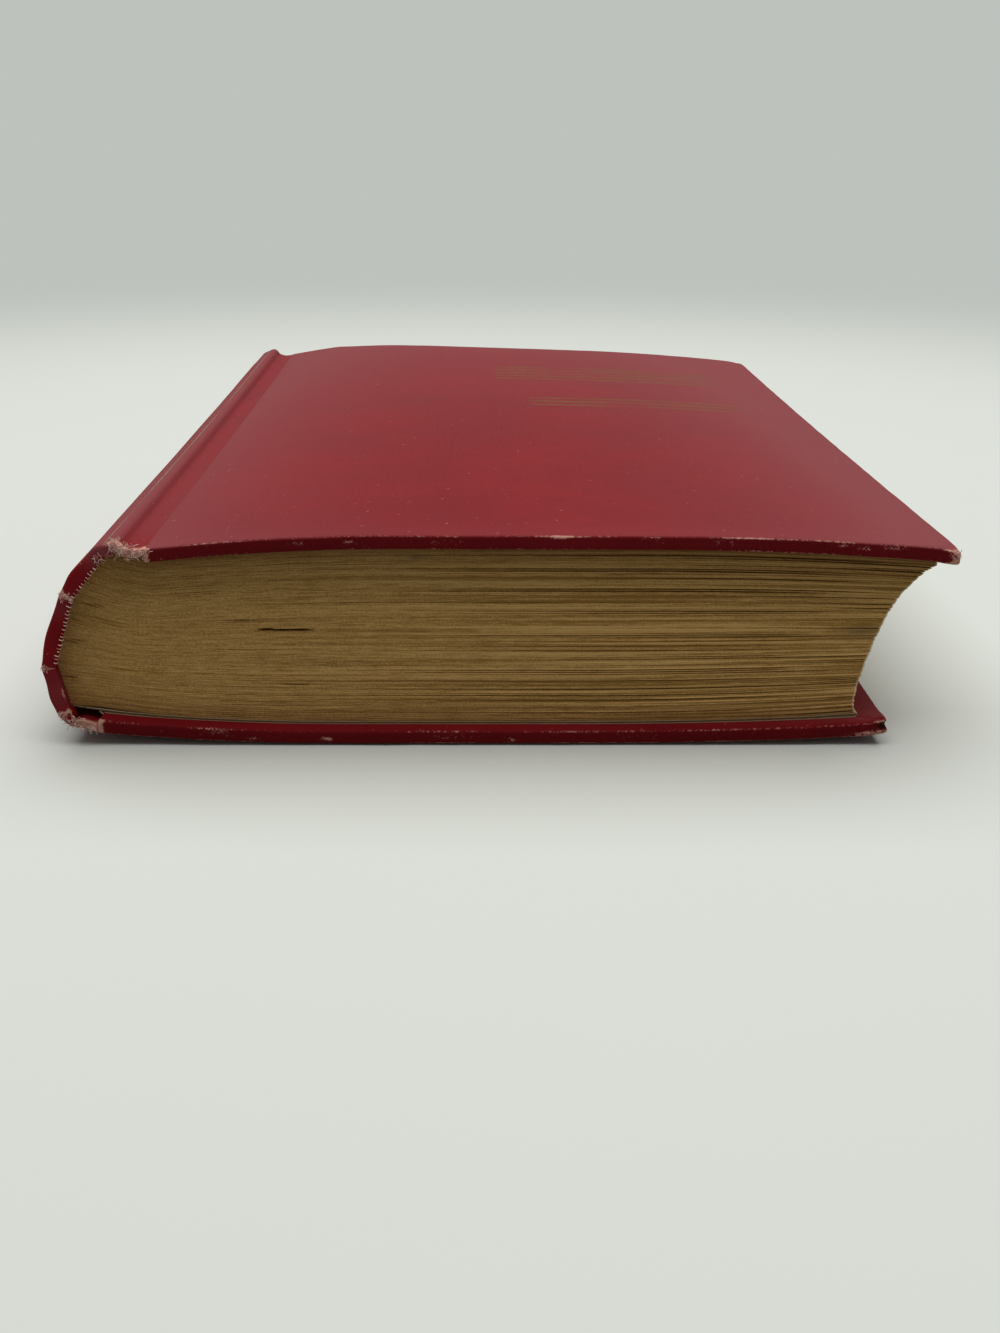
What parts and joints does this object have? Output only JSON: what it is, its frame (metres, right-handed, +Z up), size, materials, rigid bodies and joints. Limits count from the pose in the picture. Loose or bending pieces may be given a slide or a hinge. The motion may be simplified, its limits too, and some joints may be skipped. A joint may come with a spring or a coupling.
{
  "type": "hardcover book",
  "caption": "Worn cloth-bound hardcover book lying flat, with cupped boards, a creased rolled spine, a hollow fore-edge and covers that open on cloth joints.",
  "frame": {"origin": "under the middle of the closed book, on the surface it lies on", "axes": "+X towards the fore-edge with the spine at -X, +Y towards the head, +Z up through the front cover"},
  "size_m": [0.1542, 0.208, 0.0374],
  "materials": {
    "red_cloth": "worn woven book cloth",
    "page_edges": "browned cut leaves",
    "endpaper": "aged cream paper",
    "binders_board": "grey board",
    "lining_paper": "glued gauze and paper"
  },
  "bodies": {
    "text_block": {"text_block": "page_edges", "spine_lining": "lining_paper", "front_free_endpaper": "endpaper", "back_free_endpaper": "endpaper", "spine_inlay": "binders_board", "spine_cloth": "red_cloth"},
    "front_cover": {"front_board": "binders_board", "front_cloth": "red_cloth", "front_pastedown": "endpaper"},
    "back_cover": {"back_board": "binders_board", "back_cloth": "red_cloth", "back_pastedown": "endpaper"}
  },
  "joints": [
    {"name": "front_cover_joint", "type": "hinge", "parent": "text_block", "child": "front_cover", "pos_m": [-0.06085, 0, 0.0363], "axis": [0, -1, 0], "range_deg": [0, 180]},
    {"name": "back_cover_joint", "type": "hinge", "parent": "text_block", "child": "back_cover", "pos_m": [-0.07104, 0, 0.0022], "axis": [0, 1, 0], "range_deg": [0, 180]}
  ]
}
